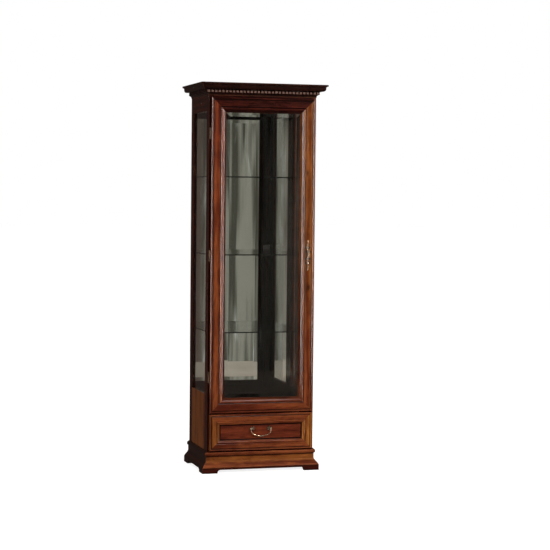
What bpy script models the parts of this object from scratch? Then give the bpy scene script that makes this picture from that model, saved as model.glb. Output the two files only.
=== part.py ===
"""Display case: a tall cabinet with a glazed door, three glass shelves and one drawer below.

Sizes are in metres. The origin lies on the floor, under the centre of the whole case. +Z is up,
+X is to the right of someone who faces the door, and -Y points towards them.
"""
import math

import bmesh
import bpy

MM = 0.001
GAP = 0.3 * MM                      # clearance between pieces that touch
LEFT, RIGHT = -1, 1
SIDE_NAMES = {LEFT: "left", RIGHT: "right"}

# The whole case
HEIGHT = 2050 * MM
WIDTH = 582 * MM                    # carcass, without its mouldings
DEPTH = 410 * MM
BOARD = 18 * MM                     # horizontal boards
FRAME = 22 * MM                     # thickness of the side frames
CARCASS_BOTTOM = 30 * MM
CARCASS_TOP = HEIGHT - BOARD - GAP

# Cornice, measured outwards from the carcass
CORNICE_REACH = 52.5 * MM
CORNICE_BOTTOM = 1984 * MM
DENTIL_FACE = 15.2 * MM
DENTIL_ROOT = 9.5 * MM
DENTIL_BOTTOM = 1999 * MM
DENTIL_GAP_TOP = 2013 * MM
DENTIL_GAP = 7.2 * MM
DENTIL_PITCH = 19.1 * MM

# Plinth, measured outwards from the carcass
PLINTH_TOP = 114.7 * MM
PLINTH_REACH = 28.8 * MM
PLINTH_NECK = 6 * MM
NECK_TOP = 89.7 * MM
NECK_BOTTOM = 66 * MM
FOOT_TOP = 26 * MM
ARCH_HEIGHT = 18.5 * MM
ARCH_ROUND = 17 * MM
FOOT_LENGTH = 82 * MM

# Side frames and their panes
STILE = 57 * MM
PANE_BOTTOM = 414 * MM
PANE_TOP = 1902 * MM
PANE = 4 * MM
PANE_SETBACK = 9 * MM               # from the outer face of the frame
GROOVE_DEPTH = 8 * MM

# Inside
FLOOR_TOP = 330 * MM
BAY_TOP = 115 * MM
FRIEZE_BOTTOM = 1962 * MM
BACK_BOARD = 6 * MM
MIRROR = 4 * MM
SHELVES = 3
SHELF_PITCH = 411 * MM
SHELF = 6 * MM
SHELF_SETBACK = 25 * MM
PIN_RADIUS = 2.5 * MM
PIN_REACH = 9 * MM
PIN_HOLE_DEPTH = 8.3 * MM
PIN_INSET_FRONT = 40 * MM
PIN_INSET_BACK = 35 * MM

# Door
LEAF_INSET = 9 * MM                 # carcass edge left bare beside the door and the drawer
LEAF = 20 * MM
LEAF_GAP = 0.5 * MM
DOOR_BOTTOM = 316 * MM
DOOR_TOP = 1975 * MM
RAIL = 80 * MM                      # width of the door's frame
GLASS = 4.3 * MM
GLASS_SETBACK = 12.3 * MM
GLASS_TUCK = 9.5 * MM               # part of the glass held inside the frame
BEVEL_WIDTH = 20 * MM
BEVEL_DROP = 2.3 * MM

# Hinges
HINGES = 3
HINGE_LENGTH = 60 * MM
HINGE_MARGIN = 190 * MM
BARREL_RADIUS = 3.3 * MM
BARREL_OUT = 5.2 * MM               # axis in front of the carcass
BARREL_ASIDE = 4.2 * MM             # axis beside the door
HINGE_PLATE = 1.2 * MM

# Lock
LOCK_X = 248 * MM
LOCK_Z = 1150 * MM
LOCK_WIDTH = 38 * MM
LOCK_HEIGHT = 56 * MM
LOCK_DEPTH = 11 * MM
BOLT = (26 * MM, 5 * MM, 8 * MM)
BOLT_RISE = -12 * MM                # bolt's centre, below the key
BOLT_TRAVEL = 8 * MM
KEY_RADIUS = 2.2 * MM
ESCUTCHEON_HEIGHT = 164 * MM
ESCUTCHEON_WIDTH = 34 * MM
ESCUTCHEON_Z = 1147 * MM
ESCUTCHEON = 1.8 * MM

# Drawer
DRAWER_BOTTOM = 116 * MM
DRAWER_TOP = 311 * MM
DRAWER_BORDER = 60 * MM
DRAWER_RECESS = 8 * MM
BOX_DEPTH = 370 * MM
BOX_WALL = 12 * MM
BOX_TOP = 288 * MM
BOX_BACK_DROP = 8 * MM
BOX_FLOOR = 5 * MM
BOX_CLEARANCE = 3 * MM
ROSETTE_SPACING = 90 * MM
PULL_Z = 230 * MM
PULL_OUT = 10.5 * MM                # bail axis in front of the drawer's field
BAIL_DROP = 39 * MM
BAIL_HALF_WIDTH = 56 * MM

FRONT = (CORNICE_REACH - DEPTH) / 2
BACK = FRONT + DEPTH
INNER = WIDTH / 2 - FRAME           # inner face of the side frames
LEAF_EDGE = WIDTH / 2 - LEAF_INSET
LEAF_FRONT = FRONT - LEAF_GAP - LEAF


# ---------------------------------------------------------------- helpers

def material(name, colour, roughness, metallic=0.0, transmission=0.0):
    """A Principled material of one colour."""
    made = bpy.data.materials.new(name)
    made.use_nodes = True
    shader = made.node_tree.nodes["Principled BSDF"]
    shader.inputs["Base Color"].default_value = (*colour, 1.0)
    shader.inputs["Roughness"].default_value = roughness
    shader.inputs["Metallic"].default_value = metallic
    shader.inputs["Transmission Weight"].default_value = transmission
    made.diffuse_color = (*colour, 1.0)
    return made


def mesh_object(name, vertices, faces, look=None, smooth=False):
    """A closed mesh with its faces turned outwards."""
    mesh = bpy.data.meshes.new(name)
    mesh.from_pydata(vertices, [], faces)
    work = bmesh.new()
    work.from_mesh(mesh)
    bmesh.ops.recalc_face_normals(work, faces=work.faces)
    work.to_mesh(mesh)
    work.free()
    if smooth:
        mesh.shade_smooth()
        mesh.set_sharp_from_angle(angle=math.radians(40))
    made = bpy.data.objects.new(name, mesh)
    bpy.context.collection.objects.link(made)
    if look:
        # Each piece has a material of its own, so that it can be changed alone.
        own = look.copy()
        own.name = f"{name}_material"
        mesh.materials.append(own)
    return made


def loft(name, rings, look=None, smooth=False, closed=False):
    """Rings of points joined in order, with a face on each end unless the rings form a closed loop."""
    sides = len(rings[0])
    vertices = [point for ring in rings for point in ring]
    faces = []
    joins = len(rings) if closed else len(rings) - 1
    for row in range(joins):
        here = row * sides
        there = (row + 1) % len(rings) * sides
        for side in range(sides):
            after = (side + 1) % sides
            faces.append((here + side, here + after, there + after, there + side))
    if not closed:
        faces.append(tuple(range(sides)))
        faces.append(tuple(range(len(vertices) - sides, len(vertices))))
    return mesh_object(name, vertices, faces, look, smooth)


def box(name, x, y, z, look=None):
    """A box between pairs of coordinates."""
    low, high = sorted(x)
    rings = [[(side, y[0], z[0]), (side, y[1], z[0]), (side, y[1], z[1]), (side, y[0], z[1])]
             for side in (low, high)]
    return loft(name, rings, look)


def cylinder(name, start, end, radius, look=None, sides=20):
    """A round bar between two points that differ along one axis only."""
    axis = next(i for i in range(3) if start[i] != end[i])
    across, up = (i for i in range(3) if i != axis)
    rings = []
    for centre in (start, end):
        ring = []
        for step in range(sides):
            turn = math.tau * step / sides
            point = list(centre)
            point[across] += radius * math.cos(turn)
            point[up] += radius * math.sin(turn)
            ring.append(tuple(point))
        rings.append(ring)
    return loft(name, rings, look, smooth=True)


def arc(centre, radii, start, end, steps):
    """Points of an elliptical arc, with its angles in degrees."""
    points = []
    for step in range(steps + 1):
        turn = math.radians(start + (end - start) * step / steps)
        points.append((centre[0] + radii[0] * math.cos(turn), centre[1] + radii[1] * math.sin(turn)))
    return points


def guide(cutter):
    """Marks an object as a cutter, which is not part of the case."""
    cutter.hide_render = True
    cutter.display_type = "WIRE"
    return cutter


def combine(target, tool, operation):
    """Cuts the tool from the target, or joins it on."""
    change = target.modifiers.new(tool.name, "BOOLEAN")
    change.operation = operation
    change.object = guide(tool)
    change.solver = "EXACT"


def cut(target, tool):
    combine(target, tool, "DIFFERENCE")


def join(target, tool):
    combine(target, tool, "UNION")


def place_origin(piece, origin):
    """Moves the object's origin to a point, and leaves its shape where it is."""
    for vertex in piece.data.vertices:
        vertex.co = [vertex.co[i] - origin[i] for i in range(3)]
    piece.location = origin


def wrapped_moulding(stem, profile, look):
    """The front length and the two returns of a moulding, mitred where they meet.

    The profile's points are (outward from the carcass, height).
    """
    half = WIDTH / 2
    front_rings = [[(side * (half + out - GAP), FRONT - out, z) for out, z in profile]
                   for side in (LEFT, RIGHT)]
    pieces = {"front": loft(f"{stem}_front", front_rings, look, smooth=True)}
    for side, word in SIDE_NAMES.items():
        rings = [[(side * (half + out), FRONT - out + GAP, z) for out, z in profile],
                 [(side * (half + out), BACK, z) for out, z in profile]]
        pieces[word] = loft(f"{stem}_{word}", rings, look, smooth=True)
    return pieces


# ---------------------------------------------------------------- mouldings

def cornice_profile():
    """Cove, dentil band, soffit, ovolo, small cove and fascia."""
    points = [(GAP, CORNICE_BOTTOM)]
    points += arc((10.5 * MM, CORNICE_BOTTOM), (9 * MM, 13 * MM), 180, 90, 8)
    points += [(10.5 * MM, DENTIL_BOTTOM), (DENTIL_FACE, DENTIL_BOTTOM), (DENTIL_FACE, 2016 * MM)]
    points += arc((32 * MM, 2031 * MM), (11 * MM, 15 * MM), -90, 0, 12)
    points += arc((51.5 * MM, 2034 * MM), (8.5 * MM, 7 * MM), 180, 90, 9)
    points += [(CORNICE_REACH, 2041 * MM), (CORNICE_REACH, HEIGHT), (GAP, HEIGHT)]
    return points


def dentil_cutter(name, start, length, along_x, at):
    """A row of boxes that cut the gaps between the dentils of one length of cornice."""
    count = round(length / DENTIL_PITCH)
    pitch = length / count
    deep = DENTIL_FACE - DENTIL_ROOT
    vertices = []
    faces = []
    for gap in range(1, count):
        middle = start + gap * pitch
        first = len(vertices)
        for u in (middle - DENTIL_GAP / 2, middle + DENTIL_GAP / 2):
            for v in (at - deep, at + deep):
                for z in (DENTIL_BOTTOM - MM, DENTIL_GAP_TOP):
                    vertices.append((u, v, z) if along_x else (v, u, z))
        corners = ((0, 1, 3, 2), (4, 6, 7, 5), (0, 4, 5, 1), (2, 3, 7, 6), (0, 2, 6, 4), (1, 5, 7, 3))
        faces += [tuple(first + corner for corner in face) for face in corners]
    return mesh_object(name, vertices, faces)


def cornice(look):
    pieces = wrapped_moulding("cornice", cornice_profile(), look)
    half = WIDTH / 2 + DENTIL_FACE
    cut(pieces["front"], dentil_cutter("dentil_gaps_front", -half, 2 * half, True, FRONT - DENTIL_FACE))
    start = FRONT - DENTIL_FACE
    for side, word in SIDE_NAMES.items():
        cutter = dentil_cutter(f"dentil_gaps_{word}", start, BACK - start, False, side * half)
        cut(pieces[word], cutter)


def plinth_profile():
    """Foot, swept skirt, neck and torus."""
    points = [(GAP, 0), (PLINTH_REACH, 0)]
    steps = 16
    for step in range(steps + 1):
        part = step / steps
        sweep = (1 + math.cos(math.pi * part)) / 2
        out = PLINTH_NECK + (PLINTH_REACH - PLINTH_NECK) * sweep
        points.append((out, FOOT_TOP + (NECK_BOTTOM - FOOT_TOP) * part))
    points += arc((4.8 * MM, 100.5 * MM), (8 * MM, 11 * MM), -81, 90, 18)
    points += [(4.8 * MM, PLINTH_TOP), (GAP, PLINTH_TOP)]
    return points


def arch_outline(start, end):
    """The opening between two feet: straight sides that round into its top."""
    below = -5 * MM
    rise = ARCH_HEIGHT - 4 * MM
    outline = [(start, below)]
    outline += arc((start + ARCH_ROUND, ARCH_HEIGHT - rise), (ARCH_ROUND, rise), 180, 90, 8)
    outline += arc((end - ARCH_ROUND, ARCH_HEIGHT - rise), (ARCH_ROUND, rise), 90, 0, 8)
    outline.append((end, below))
    return outline


def plinth(look):
    pieces = wrapped_moulding("plinth", plinth_profile(), look)
    reach = PLINTH_REACH + 10 * MM
    half = WIDTH / 2 + PLINTH_REACH - FOOT_LENGTH
    rings = [[(x, y, z) for x, z in arch_outline(-half, half)] for y in (FRONT - reach, FRONT)]
    cut(pieces["front"], loft("arch_front", rings))
    outline = arch_outline(FRONT - PLINTH_REACH + FOOT_LENGTH, BACK - FOOT_LENGTH)
    for side, word in SIDE_NAMES.items():
        planes = (side * WIDTH / 2, side * (WIDTH / 2 + reach))
        cut(pieces[word], loft(f"arch_{word}", [[(x, y, z) for y, z in outline] for x in planes]))


# ---------------------------------------------------------------- carcass

def shelf_top(number):
    return FLOOR_TOP + number * SHELF_PITCH


def pin_height(number):
    """Height of the axis of the pins under a shelf."""
    return shelf_top(number) - SHELF - GAP - PIN_RADIUS


def side_frame(side, wood, glass):
    """Two stiles, a top rail, a lower panel and the pane in their grooves."""
    word = SIDE_NAMES[side]
    x = (side * INNER, side * WIDTH / 2)
    z = (CARCASS_BOTTOM, CARCASS_TOP)
    between = (FRONT + STILE + GAP, BACK - STILE - GAP)
    front_stile = box(f"{word}_front_stile", x, (FRONT, FRONT + STILE), z, wood)
    back_stile = box(f"{word}_back_stile", x, (BACK - STILE, BACK), z, wood)
    top_rail = box(f"{word}_top_rail", x, between, (PANE_TOP, CARCASS_TOP), wood)
    panel = box(f"{word}_lower_panel", x, between, (CARCASS_BOTTOM, PANE_BOTTOM), wood)

    outer = WIDTH / 2 - PANE_SETBACK
    groove = box(f"{word}_pane_groove", (side * (outer + GAP), side * (outer - PANE - GAP)),
                 (FRONT + STILE - GROOVE_DEPTH, BACK - STILE + GROOVE_DEPTH),
                 (PANE_BOTTOM - GROOVE_DEPTH, PANE_TOP + GROOVE_DEPTH))
    for member in (front_stile, back_stile, top_rail, panel):
        cut(member, groove)
    tuck = GROOVE_DEPTH - GAP
    box(f"{word}_pane", (side * outer, side * (outer - PANE)),
        (FRONT + STILE - tuck, BACK - STILE + tuck), (PANE_BOTTOM - tuck, PANE_TOP + tuck), glass)
    return front_stile, back_stile


def shelf_pins(side, stiles, metal):
    """Pins in holes in the stiles, two under each end of a shelf."""
    word = SIDE_NAMES[side]
    places = (("front", FRONT + PIN_INSET_FRONT), ("back", BACK - PIN_INSET_BACK))
    for number in range(1, SHELVES + 1):
        z = pin_height(number)
        for (place, y), stile in zip(places, stiles):
            outer = side * (INNER + PIN_HOLE_DEPTH)
            hole = cylinder(f"pin_hole_{number}_{word}_{place}", (outer, y, z),
                            (side * (INNER - 5 * MM), y, z), PIN_RADIUS + GAP, sides=12)
            cut(stile, hole)
            cylinder(f"shelf_pin_{number}_{word}_{place}", (outer - side * GAP, y, z),
                     (side * (INNER - PIN_REACH), y, z), PIN_RADIUS, metal, sides=12)


def bolt_pocket(stile):
    """The hole in the right stile that the bolt enters."""
    z = LOCK_Z + BOLT_RISE
    pocket = box("bolt_pocket", (INNER - 5 * MM, INNER + 10 * MM), (FRONT + 1.5 * MM, FRONT + 10 * MM),
                 (z - BOLT[2], z + BOLT[2]))
    cut(stile, pocket)


def carcass(wood, dark_wood, glass, mirror, metal):
    for side in (LEFT, RIGHT):
        stiles = side_frame(side, wood, glass)
        shelf_pins(side, stiles, metal)
        if side == RIGHT:
            bolt_pocket(stiles[0])
    x = (-INNER + GAP, INNER - GAP)
    behind = BACK - BACK_BOARD - GAP
    box("back_board", x, (BACK - BACK_BOARD, BACK), (CARCASS_BOTTOM, CARCASS_TOP), dark_wood)
    box("mirror", x, (behind - MIRROR, behind), (FLOOR_TOP - BOARD, CARCASS_TOP), mirror)
    box("floor_board", x, (FRONT, behind - MIRROR - GAP), (FLOOR_TOP - BOARD, FLOOR_TOP), wood)
    box("bay_board", x, (FRONT, behind), (BAY_TOP - BOARD, BAY_TOP), wood)
    box("frieze_rail", x, (FRONT, FRONT + FRAME), (FRIEZE_BOTTOM, CARCASS_TOP), wood)
    box("top_board", (-WIDTH / 2, WIDTH / 2), (FRONT, BACK), (HEIGHT - BOARD, HEIGHT), wood)
    end = INNER - 2 * MM
    for number in range(1, SHELVES + 1):
        top = shelf_top(number)
        box(f"shelf_{number}", (-end, end), (FRONT + SHELF_SETBACK, behind - MIRROR - 2 * MM),
            (top - SHELF, top), glass)


# ---------------------------------------------------------------- door

def door_profile():
    """Section of the door's frame: (in from the outer edge, back from the front face)."""
    points = [(0, LEAF), (0, 5 * MM)]
    points += arc((5 * MM, 5 * MM), (5 * MM, 5 * MM), 200, 320, 10)
    points += [(11 * MM, 2.2 * MM), (12.5 * MM, 0.7 * MM), (49.5 * MM, 0.7 * MM), (51 * MM, 2.2 * MM)]
    points += arc((58.5 * MM, 5.5 * MM), (6.5 * MM, 5.5 * MM), 215, 335, 12)
    points += arc((77 * MM, 3 * MM), (12 * MM, 6.5 * MM), 170, 90, 8)
    lip = GLASS_SETBACK - GAP
    deep = RAIL - GLASS_TUCK - GAP
    seat = GLASS_SETBACK + GLASS + GAP
    points += [(RAIL, 9.5 * MM), (RAIL, lip), (deep, lip), (deep, seat), (RAIL, seat), (RAIL, LEAF)]
    return points


def door_frame(wood):
    """Stiles and rails with the same section, mitred at the corners."""
    profile = door_profile()
    for side, word in SIDE_NAMES.items():
        rings = [[(side * (LEAF_EDGE - d), LEAF_FRONT + t, DOOR_BOTTOM + d + GAP) for d, t in profile],
                 [(side * (LEAF_EDGE - d), LEAF_FRONT + t, DOOR_TOP - d - GAP) for d, t in profile]]
        stile = loft(f"door_{word}_stile", rings, wood, smooth=True)
        if side == RIGHT:
            hole = cylinder("key_bore", (LOCK_X, LEAF_FRONT - 5 * MM, LOCK_Z),
                            (LOCK_X, FRONT + 5 * MM, LOCK_Z), KEY_RADIUS + MM, sides=16)
            cut(stile, hole)
    for word, edge, inwards in (("top", DOOR_TOP, -1), ("bottom", DOOR_BOTTOM, 1)):
        rings = [[(side * (LEAF_EDGE - d), LEAF_FRONT + t, edge + inwards * d) for d, t in profile]
                 for side in (LEFT, RIGHT)]
        loft(f"door_{word}_rail", rings, wood, smooth=True)


def rectangle(inset, y, bottom, top, half):
    """Four corners of an upright rectangle, inset from its outline."""
    return [(-half + inset, y, bottom + inset), (half - inset, y, bottom + inset),
            (half - inset, y, top - inset), (-half + inset, y, top - inset)]


def door_glass(glass):
    """A pane with a wide bevel around its front."""
    back = LEAF_FRONT + GLASS_SETBACK + GLASS
    low = LEAF_FRONT + GLASS_SETBACK + BEVEL_DROP
    rings = ((0, back), (0, low), (GLASS_TUCK, low), (GLASS_TUCK + BEVEL_WIDTH, low - BEVEL_DROP))
    inset = RAIL - GLASS_TUCK
    loft("door_glass", [rectangle(inset + d, y, DOOR_BOTTOM, DOOR_TOP, LEAF_EDGE) for d, y in rings], glass)


def hinge(number, z, metal):
    """A butt hinge beside the door's left edge, with its pin fixed in the carcass half."""
    x = -LEAF_EDGE - BARREL_ASIDE
    y = FRONT - BARREL_OUT
    low = z - HINGE_LENGTH / 2
    third = HINGE_LENGTH / 3
    fixed = cylinder(f"hinge_{number}_carcass_half", (x, y, low), (x, y, low + third - GAP),
                     BARREL_RADIUS, metal, sides=16)
    plate_back = FRONT - GAP
    plate = box(f"hinge_{number}_fixed_plate", (-WIDTH / 2 + GAP, -LEAF_EDGE - MM),
                (plate_back - HINGE_PLATE, plate_back), (low, low + HINGE_LENGTH))
    join(fixed, plate)
    join(fixed, cylinder(f"hinge_{number}_upper_knuckle", (x, y, low + 2 * third + GAP),
                         (x, y, low + HINGE_LENGTH), BARREL_RADIUS, sides=16))
    join(fixed, cylinder(f"hinge_{number}_pin", (x, y, low + third / 2), (x, y, low + 2.5 * third),
                         1.3 * MM, sides=12))
    for word, start in (("lower", low), ("upper", low + 2 * third + GAP)):
        join(fixed, box(f"hinge_{number}_{word}_web", (x - 1.5 * MM, x + 1.5 * MM),
                        (y, plate_back - HINGE_PLATE / 2), (start + MM, start + third - 2 * MM)))

    moving = cylinder(f"hinge_{number}_door_half", (x, y, low + third + GAP),
                      (x, y, low + 2 * third - GAP), BARREL_RADIUS, metal, sides=16)
    outer = -LEAF_EDGE - GAP
    join(moving, box(f"hinge_{number}_door_plate", (outer - HINGE_PLATE, outer),
                     (LEAF_FRONT + 6 * MM, y - BARREL_RADIUS - MM), (low, low + HINGE_LENGTH)))
    join(moving, box(f"hinge_{number}_door_web", (outer - 2 * MM, outer),
                     (y - BARREL_RADIUS - 2 * MM, y), (low + third + MM, low + 2 * third - MM)))
    cut(moving, cylinder(f"hinge_{number}_bore", (x, y, low), (x, y, low + HINGE_LENGTH),
                         1.6 * MM, sides=12))
    for half in (fixed, moving):
        place_origin(half, (x, y, z))


def hinges(metal):
    low = DOOR_BOTTOM + HINGE_MARGIN
    step = (DOOR_TOP - DOOR_BOTTOM - 2 * HINGE_MARGIN) / (HINGES - 1)
    for number in range(HINGES):
        hinge(number + 1, low + number * step, metal)


# ---------------------------------------------------------------- lock

def escutcheon_half_width(part):
    """Half the plate's width at a fraction of its height: a wide middle between two finials."""
    lobes = abs(math.cos(3 * math.pi * (part - 0.5)))
    taper = 1 - 0.45 * abs(2 * part - 1)
    return ESCUTCHEON_WIDTH / 2 * (0.22 + 0.78 * lobes ** 0.8) * taper


def escutcheon(metal):
    """A pierced plate around the keyhole."""
    steps = 48
    low = ESCUTCHEON_Z - ESCUTCHEON_HEIGHT / 2
    right = []
    for step in range(1, steps):
        part = step / steps
        ends = min(1, math.sqrt(12 * min(part, 1 - part)))
        right.append((escutcheon_half_width(part) * ends, low + part * ESCUTCHEON_HEIGHT))
    outline = [(LOCK_X, low)] + [(LOCK_X + w, z) for w, z in right]
    outline += [(LOCK_X, low + ESCUTCHEON_HEIGHT)] + [(LOCK_X - w, z) for w, z in reversed(right)]
    front = LEAF_FRONT + 0.7 * MM - GAP - ESCUTCHEON
    rings = [[(x, y, z) for x, z in outline] for y in (front, front + ESCUTCHEON)]
    plate = loft("escutcheon", rings, metal)
    cut(plate, cylinder("keyhole", (LOCK_X, front - 5 * MM, LOCK_Z), (LOCK_X, front + 5 * MM, LOCK_Z),
                        KEY_RADIUS + 0.8 * MM, sides=16))
    piercings = ((0.17, 0, 3.0, 6.0), (0.83, 0, 3.0, 6.0), (0.42, 5.5, 2.6, 6.5), (0.42, -5.5, 2.6, 6.5),
                 (0.68, 4.0, 2.0, 4.5), (0.68, -4.0, 2.0, 4.5), (0.30, 0, 2.4, 4.0))
    for number, (part, aside, wide, tall) in enumerate(piercings):
        centre = (LOCK_X + aside * MM, low + part * ESCUTCHEON_HEIGHT)
        oval = arc(centre, (wide * MM, tall * MM), 0, 330, 11)
        rings = [[(x, y, z) for x, z in oval] for y in (front - 5 * MM, front + 5 * MM)]
        cut(plate, loft(f"piercing_{number}", rings))


def key(metal):
    """Shaft, bit, collar and bow, with the bow upright."""
    centre = (LOCK_X, 0, LOCK_Z)
    tip = FRONT + 7 * MM
    bow_y = LEAF_FRONT - 19 * MM
    shaft = cylinder("key", (LOCK_X, bow_y + 8.5 * MM, LOCK_Z), (LOCK_X, tip, LOCK_Z), KEY_RADIUS,
                     metal, sides=16)
    join(shaft, box("key_bit", (LOCK_X - MM, LOCK_X + MM), (tip - 5 * MM, tip - 0.5 * MM),
                    (LOCK_Z - 6.3 * MM, LOCK_Z)))
    join(shaft, cylinder("key_collar", (LOCK_X, bow_y + 9.5 * MM, LOCK_Z),
                         (LOCK_X, bow_y + 13 * MM, LOCK_Z), 3.6 * MM, sides=16))
    rings = []
    steps = 28
    for step in range(steps):
        turn = math.tau * step / steps
        y, z = bow_y + 8.5 * MM * math.cos(turn), LOCK_Z + 12.5 * MM * math.sin(turn)
        ring = []
        for side in range(8):
            around = math.tau * side / 8
            out = 1.7 * MM * math.cos(around)
            ring.append((LOCK_X + 1.4 * MM * math.sin(around), y + out * math.cos(turn),
                         z + out * math.sin(turn)))
        rings.append(ring)
    join(shaft, loft("key_bow", rings, closed=True))
    place_origin(shaft, (centre[0], FRONT, centre[2]))


def lock(steel):
    """The case on the back of the door, and the bolt that the key throws."""
    back = FRONT - LEAF_GAP + GAP
    bolt_z = LOCK_Z + BOLT_RISE
    bolt_y = back + 3 * MM
    x = (LOCK_X - LOCK_WIDTH / 2, LOCK_X + LOCK_WIDTH / 2)
    case = box("lock_case", x, (back, back + LOCK_DEPTH),
               (LOCK_Z - LOCK_HEIGHT / 2, LOCK_Z + LOCK_HEIGHT / 2), steel)
    cut(case, cylinder("key_cavity", (LOCK_X, back - 5 * MM, LOCK_Z), (LOCK_X, back + 9 * MM, LOCK_Z),
                       7 * MM, sides=20))
    slot_start = x[1] - BOLT[0] - 4 * MM
    cut(case, box("bolt_slot", (slot_start, x[1] + 5 * MM), (bolt_y - GAP, bolt_y + BOLT[1] + GAP),
                  (bolt_z - BOLT[2] / 2 - GAP, bolt_z + BOLT[2] / 2 + GAP)))
    bolt = box("lock_bolt", (x[1] - BOLT[0], x[1]), (bolt_y, bolt_y + BOLT[1]),
               (bolt_z - BOLT[2] / 2, bolt_z + BOLT[2] / 2), steel)
    place_origin(bolt, (x[1] - BOLT[0] / 2, bolt_y + BOLT[1] / 2, bolt_z))


# ---------------------------------------------------------------- drawer

def drawer_front(wood):
    """A front with a moulded border around a sunk field."""
    steps = [(0, LEAF), (0, 5 * MM), (1.5 * MM, 1.8 * MM), (5 * MM, 0), (9 * MM, 1.2 * MM),
             (11 * MM, 2.2 * MM), (12.5 * MM, 0.7 * MM), (36 * MM, 0.7 * MM), (37.5 * MM, 2.2 * MM)]
    steps += arc((43.5 * MM, 5 * MM), (5.5 * MM, 5 * MM), 215, 335, 12)
    steps += [(50 * MM, 3.8 * MM), (DRAWER_BORDER - 2 * MM, DRAWER_RECESS - MM),
              (DRAWER_BORDER, DRAWER_RECESS)]
    rings = [rectangle(d, LEAF_FRONT + t, DRAWER_BOTTOM, DRAWER_TOP, LEAF_EDGE) for d, t in steps]
    loft("drawer_front", rings, wood)


def drawer_box(wood):
    start = FRONT - LEAF_GAP + GAP
    end = start + BOX_DEPTH
    low = BAY_TOP + GAP
    outer = INNER - BOX_CLEARANCE
    for side, word in SIDE_NAMES.items():
        box(f"drawer_{word}_side", (side * (outer - BOX_WALL), side * outer), (start, end), (low, BOX_TOP),
            wood)
    inside = (-outer + BOX_WALL + GAP, outer - BOX_WALL - GAP)
    floor = low + 6 * MM
    box("drawer_floor", inside, (start, end - BOX_WALL - GAP), (floor, floor + BOX_FLOOR), wood)
    box("drawer_back", inside, (end - BOX_WALL, end), (floor, BOX_TOP - BOX_BACK_DROP), wood)


def turned(name, centre, profile, look, sides=18):
    """A shape turned about an axis along Y, from (radius, distance in front of the centre) points."""
    rings = []
    for radius, out in profile:
        rings.append([(centre[0] + radius * math.cos(math.tau * side / sides), centre[1] - out,
                       centre[2] + radius * math.sin(math.tau * side / sides)) for side in range(sides)])
    return loft(name, rings, look, smooth=True)


def rosettes(metal):
    """Turned plates with a post whose head carries the end of the bail."""
    field = LEAF_FRONT + DRAWER_RECESS - GAP
    profile = [(8.5 * MM, 0), (9 * MM, 1 * MM), (7 * MM, 2.4 * MM), (4 * MM, 3.2 * MM), (3 * MM, 5 * MM)]
    head = arc((0, PULL_OUT - GAP), (4.6 * MM, 4.6 * MM), -45, 80, 8)
    profile += [(radius, out) for radius, out in head]
    for side, word in SIDE_NAMES.items():
        centre = (side * ROSETTE_SPACING / 2, field, PULL_Z)
        post = turned(f"pull_rosette_{word}", centre, profile, metal)
        y = field - PULL_OUT + GAP
        hole = cylinder(f"bail_hole_{word}", (centre[0] - 8 * MM, y, PULL_Z),
                        (centre[0] + 8 * MM, y, PULL_Z), 1.9 * MM, sides=12)
        cut(post, hole)


def bail_centre(part):
    """Centre line of the bail from its left end to its right end: (across, height)."""
    reach = BAIL_HALF_WIDTH * math.cos(math.pi * part)
    drop = BAIL_DROP * math.sin(math.pi * part) ** 0.75
    return -reach, PULL_Z - drop


def bail(metal):
    """A hanging handle with three beads at its middle, and ends that turn in to the posts."""
    y = LEAF_FRONT + DRAWER_RECESS - PULL_OUT
    tip = ROSETTE_SPACING / 2 - 3 * MM
    steps = 56
    line = [(-tip, PULL_Z, 1.6 * MM), (-tip - 8.5 * MM, PULL_Z, 1.6 * MM)]
    for step in range(1, steps):
        part = step / steps
        x, z = bail_centre(part)
        beads = max(0.0, math.cos(6 * math.pi * (part - 0.5))) if abs(part - 0.5) < 0.25 else 0.0
        line.append((x, z, (2.0 + 1.4 * beads ** 2 + 0.5 * math.sin(math.pi * part)) * MM))
    line += [(-x, z, radius) for x, z, radius in reversed(line[:2])]
    rings = []
    for number, (x, z, radius) in enumerate(line):
        before = line[max(number - 1, 0)]
        after = line[min(number + 1, len(line) - 1)]
        run, rise = after[0] - before[0], after[1] - before[1]
        length = math.hypot(run, rise)
        side_x, side_z = -rise / length, run / length
        ring = []
        for corner in range(10):
            turn = math.tau * corner / 10
            across = radius * math.cos(turn)
            ring.append((x + side_x * across, y + radius * math.sin(turn), z + side_z * across))
        rings.append(ring)
    place_origin(loft("pull_bail", rings, metal, smooth=True), (0, y, PULL_Z))


# ---------------------------------------------------------------- the case

def main():
    for old in list(bpy.data.objects):
        bpy.data.objects.remove(old)
    wood = material("case_wood", (0.21, 0.075, 0.032), 0.32)
    dark_wood = material("dark_wood", (0.07, 0.028, 0.016), 0.45)
    box_wood = material("drawer_wood", (0.42, 0.27, 0.15), 0.5)
    glass = material("glass", (0.93, 0.97, 0.95), 0.02, transmission=1.0)
    mirror = material("mirror", (0.82, 0.85, 0.84), 0.02, metallic=1.0)
    brass = material("aged_brass", (0.36, 0.28, 0.18), 0.35, metallic=1.0)
    steel = material("steel", (0.45, 0.45, 0.44), 0.35, metallic=1.0)

    cornice(dark_wood)
    plinth(wood)
    carcass(wood, dark_wood, glass, mirror, brass)
    door_frame(wood)
    door_glass(glass)
    hinges(brass)
    escutcheon(brass)
    key(brass)
    lock(steel)
    drawer_front(wood)
    drawer_box(box_wood)
    rosettes(brass)
    bail(brass)


main()
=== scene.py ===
"""Looks of the display case: polished wood, bevelled glass, mirror and aged brass.

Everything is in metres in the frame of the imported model: +Z is up, +X is to the right of someone who
faces the door, and -Y points towards them.
"""

import math

import bpy
from mathutils import Matrix, Vector

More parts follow.
